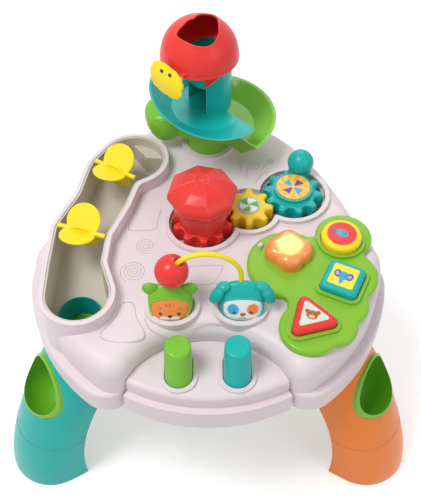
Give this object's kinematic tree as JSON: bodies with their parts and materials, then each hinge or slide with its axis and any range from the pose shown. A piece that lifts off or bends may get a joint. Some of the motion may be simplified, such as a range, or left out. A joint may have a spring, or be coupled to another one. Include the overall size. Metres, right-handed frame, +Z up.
{
  "type": "toddler activity table",
  "caption": "Toddler's activity table on three hollow legs, with a ball tower and channel, meshing gears, a bead on a wire, push keys, shape buttons and a flower light.",
  "frame": {"origin": "on the floor, under the middle of the whole table", "axes": "+X to the right seen from the child's side, -Y towards the child, +Z up"},
  "size_m": [0.5504, 0.517, 0.4968],
  "materials": {
    "white_plastic": "satin",
    "console_plastic": "satin",
    "grey_plastic": "satin",
    "base_plastic": "satin",
    "teal_plastic": "gloss",
    "orange_plastic": "gloss",
    "red_plastic": "gloss",
    "green_plastic": "gloss",
    "lime_plastic": "gloss",
    "yellow_plastic": "gloss",
    "light_lens": "translucent",
    "light_core": "translucent",
    "dark_plastic": "satin",
    "steel": "brushed",
    "board": "satin",
    "rubber_dome": "matte",
    "cell_jacket": "gloss",
    "red_label": "printed",
    "yellow_label": "printed",
    "pale_label": "printed",
    "green_label": "printed",
    "swirl_label": "printed",
    "orange_face": "printed",
    "white_face": "printed"
  },
  "bodies": {
    "table": {"top_shell": "white_plastic", "base_plate": "base_plastic", "key_console": "console_plastic", "green_key_spring": "steel", "teal_key_spring": "steel", "key_board": "board", "ball_channel": "grey_plastic", "gear_tray": "grey_plastic", "wire_arch": "yellow_plastic", "left_head": "green_plastic", "right_head": "teal_plastic", "left_face": "orange_face", "right_face": "white_face", "control_panel": "lime_plastic", "flower_light": "light_lens", "light_core": "light_core", "panel_peg": "white_plastic", "circuit_board": "board", "speaker": "dark_plastic", "battery_box": "grey_plastic", "batteries": "cell_jacket", "battery_contacts": "steel", "battery_door": "base_plastic", "door_screw": "steel", "tower_base": "green_plastic", "spiral_tray": "teal_plastic", "hood": "red_plastic", "flap_pin": "steel", "body_screws": "steel", "leg_screws": "steel", "tower_screw": "steel", "round_contact_dome": "rubber_dome", "square_contact_dome": "rubber_dome", "triangle_contact_dome": "rubber_dome", "left_leg": "teal_plastic", "left_leg_cup": "green_plastic", "right_leg": "orange_plastic", "right_leg_cup": "green_plastic", "rear_leg": "red_plastic", "rear_leg_cup": "green_plastic"},
    "upper_flipper": {"upper_flipper": "yellow_plastic"},
    "lower_flipper": {"lower_flipper": "yellow_plastic"},
    "red_gear": {"red_gear": "red_plastic", "umbrella_knob": "red_plastic"},
    "yellow_gear": {"yellow_gear": "yellow_plastic", "yellow_gear_label": "green_label"},
    "teal_gear": {"teal_gear": "teal_plastic", "crank_knob": "teal_plastic", "teal_gear_label": "swirl_label"},
    "bead": {"bead": "red_plastic"},
    "green_key": {"green_key": "green_plastic"},
    "teal_key": {"teal_key": "teal_plastic"},
    "round_button": {"round_button": "yellow_plastic", "round_button_label": "red_label"},
    "square_button": {"square_button": "teal_plastic", "square_button_label": "yellow_label"},
    "triangle_button": {"triangle_button": "red_plastic", "triangle_button_label": "pale_label"},
    "gate_flap": {"gate_flap": "yellow_plastic"},
    "power_switch": {"power_switch": "dark_plastic"}
  },
  "joints": [
    {"name": "upper_flipper_spin", "type": "hinge", "parent": "table", "child": "upper_flipper", "pos_m": [-0.122, 0.06375, 0.317], "axis": [0.8638, -0.5039, 0], "continuous": true},
    {"name": "lower_flipper_spin", "type": "hinge", "parent": "table", "child": "lower_flipper", "pos_m": [-0.15625, -0.04175, 0.317], "axis": [0.9518, -0.3068, 0], "continuous": true},
    {"name": "red_gear_spin", "type": "hinge", "parent": "table", "child": "red_gear", "pos_m": [-0.007, -0.0175, 0.3], "axis": [0, 0, 1], "continuous": true},
    {"name": "yellow_gear_spin", "type": "hinge", "parent": "table", "child": "yellow_gear", "pos_m": [0.05201, 0.00456, 0.3], "axis": [0, 0, 1], "continuous": true},
    {"name": "teal_gear_spin", "type": "hinge", "parent": "table", "child": "teal_gear", "pos_m": [0.10934, 0.03069, 0.3], "axis": [0, 0, 1], "continuous": true},
    {"name": "bead_slide", "type": "hinge", "parent": "table", "child": "bead", "pos_m": [-0.002, -0.1375, 0.35], "axis": [0, 1, 0], "range_deg": [0, 142]},
    {"name": "green_key_press", "type": "slide", "parent": "table", "child": "green_key", "axis": [0, 0, -1], "range_m": [0, 0.008], "stiffness_N_per_m": 300, "springref_m": -0.002, "deforming": ["green_key_spring"]},
    {"name": "teal_key_press", "type": "slide", "parent": "table", "child": "teal_key", "axis": [0, 0, -1], "range_m": [0, 0.008], "stiffness_N_per_m": 300, "springref_m": -0.002, "deforming": ["teal_key_spring"]},
    {"name": "round_button_press", "type": "slide", "parent": "table", "child": "round_button", "axis": [0, 0, -1], "range_m": [0, 0.003], "stiffness_N_per_m": 600, "springref_m": -0.001, "deforming": ["round_contact_dome"]},
    {"name": "square_button_press", "type": "slide", "parent": "table", "child": "square_button", "axis": [0, 0, -1], "range_m": [0, 0.003], "stiffness_N_per_m": 600, "springref_m": -0.001, "deforming": ["square_contact_dome"]},
    {"name": "triangle_button_press", "type": "slide", "parent": "table", "child": "triangle_button", "axis": [0, 0, -1], "range_m": [0, 0.003], "stiffness_N_per_m": 600, "springref_m": -0.001, "deforming": ["triangle_contact_dome"]},
    {"name": "gate_flap_swing", "type": "hinge", "parent": "table", "child": "gate_flap", "pos_m": [-0.04276, 0.08621, 0.457], "axis": [-0.788, 0.6157, 0], "range_deg": [0, 35]},
    {"name": "power_switch_slide", "type": "slide", "parent": "table", "child": "power_switch", "axis": [-0.4195, 0.9078, 0], "range_m": [0, 0.006]}
  ],
  "couplings": [
    {"joint": "yellow_gear_spin", "follows": "red_gear_spin", "ratio": -1.25},
    {"joint": "teal_gear_spin", "follows": "red_gear_spin", "ratio": 1}
  ]
}
